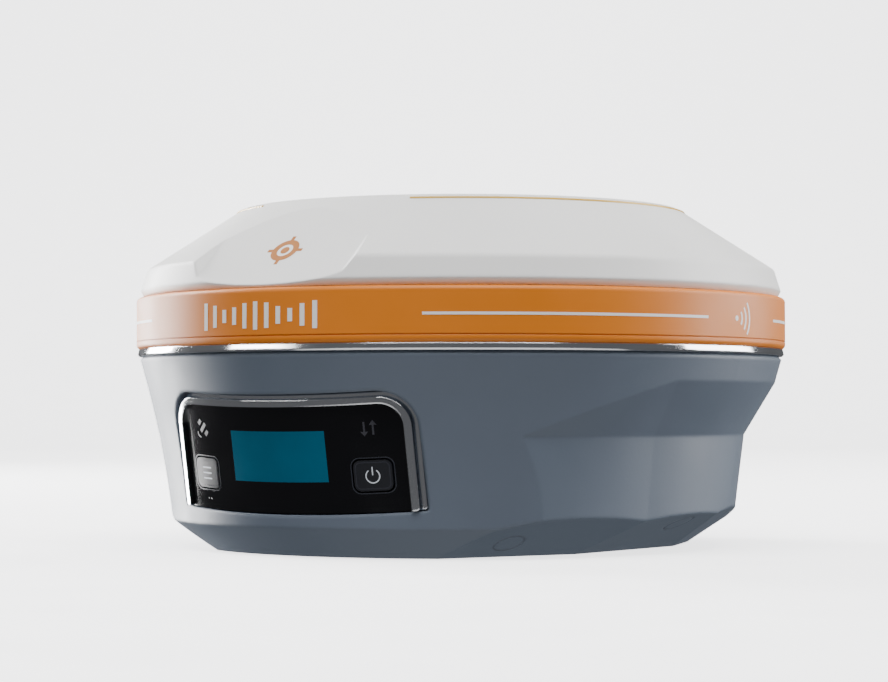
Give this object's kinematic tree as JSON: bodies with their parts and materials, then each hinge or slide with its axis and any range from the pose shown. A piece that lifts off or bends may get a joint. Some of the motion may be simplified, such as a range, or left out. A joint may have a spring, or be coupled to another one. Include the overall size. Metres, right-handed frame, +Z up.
{
  "type": "gnss receiver",
  "caption": "Round pole-mounted GNSS receiver: white faceted dome, orange band and grey housing with a curved black key panel and display.",
  "frame": {"origin": "centre of the base face, on the axis of the pole thread", "axes": "+Z up along the pole-thread axis, -Y out of the key panel, +X to the right of someone facing the panel"},
  "size_m": [0.152, 0.152, 0.08],
  "materials": {
    "white_shell": "satin",
    "orange_band": "satin",
    "chrome": "polished",
    "grey_shell": "fine textured satin",
    "accent_gold": "satin",
    "seal_rubber": "matte",
    "steel": "satin",
    "brass": "machined",
    "lens_black": "gloss",
    "display_teal": "gloss",
    "key_black": "satin",
    "board_green": "satin",
    "part_black": "matte",
    "aluminium": "satin",
    "ceramic": "matte",
    "gold_metal": "polished",
    "cell_wrap": "gloss",
    "plate_white": "satin"
  },
  "bodies": {
    "housing": {"top_dome": "white_shell", "dome_accent_ring": "accent_gold", "band_ring": "orange_band", "chrome_ring": "chrome", "lower_housing": "grey_shell", "screw_plugs": "grey_shell", "rim_seal": "seal_rubber", "case_screws": "steel", "pole_thread_insert": "brass", "rating_plate": "plate_white", "vent_membrane": "plate_white", "panel_trim": "chrome", "panel_lens": "lens_black", "keypad_board": "board_green", "key_switches": "part_black", "indicator_lamps": "plate_white", "display_module": "part_black", "display_glass": "display_teal", "serial_connector": "steel", "serial_core": "part_black", "serial_contacts": "gold_metal", "power_connector": "steel", "power_tongue": "part_black", "radio_connector": "gold_metal", "radio_contact": "gold_metal", "hinge_pins": "steel", "battery_cells": "cell_wrap", "battery_tray": "part_black", "cell_contacts": "gold_metal", "chassis_plate": "aluminium", "chassis_screws": "steel", "board_standoffs": "brass", "main_board": "board_green", "shield_cans": "steel", "receiver_module": "steel", "tilt_sensor": "part_black", "buzzer": "part_black", "radio_module": "steel", "ground_plate": "board_green", "plate_screws": "steel", "lower_element": "ceramic", "upper_element": "ceramic", "element_foils": "gold_metal", "feed_pins": "gold_metal", "amplifier_can": "steel", "aerial_coax": "part_black", "panel_ribbon": "accent_gold", "battery_leads": "seal_rubber", "port_leads": "accent_gold"},
    "function_key": {"function_key": "key_black"},
    "power_key": {"power_key": "key_black"},
    "serial_flap": {"serial_flap": "seal_rubber"},
    "power_flap": {"power_flap": "seal_rubber"},
    "radio_cap": {"radio_cap": "seal_rubber"}
  },
  "joints": [
    {"name": "function_key_press", "type": "slide", "parent": "housing", "child": "function_key", "axis": [0, 0.9863, 0.165], "range_m": [0, 0.0006], "stiffness_N_per_m": 400},
    {"name": "power_key_press", "type": "slide", "parent": "housing", "child": "power_key", "axis": [0, 0.9863, 0.165], "range_m": [0, 0.0006], "stiffness_N_per_m": 400},
    {"name": "serial_flap_hinge", "type": "hinge", "parent": "housing", "child": "serial_flap", "pos_m": [-0.019, 0.0291, 0.0016], "axis": [-1, 0, 0], "range_deg": [0, 90]},
    {"name": "power_flap_hinge", "type": "hinge", "parent": "housing", "child": "power_flap", "pos_m": [0.019, 0.0291, 0.0016], "axis": [-1, 0, 0], "range_deg": [0, 90]},
    {"name": "radio_cap_lift", "type": "slide", "parent": "housing", "child": "radio_cap", "axis": [0, 0, -1], "range_m": [0, 0.012]}
  ]
}
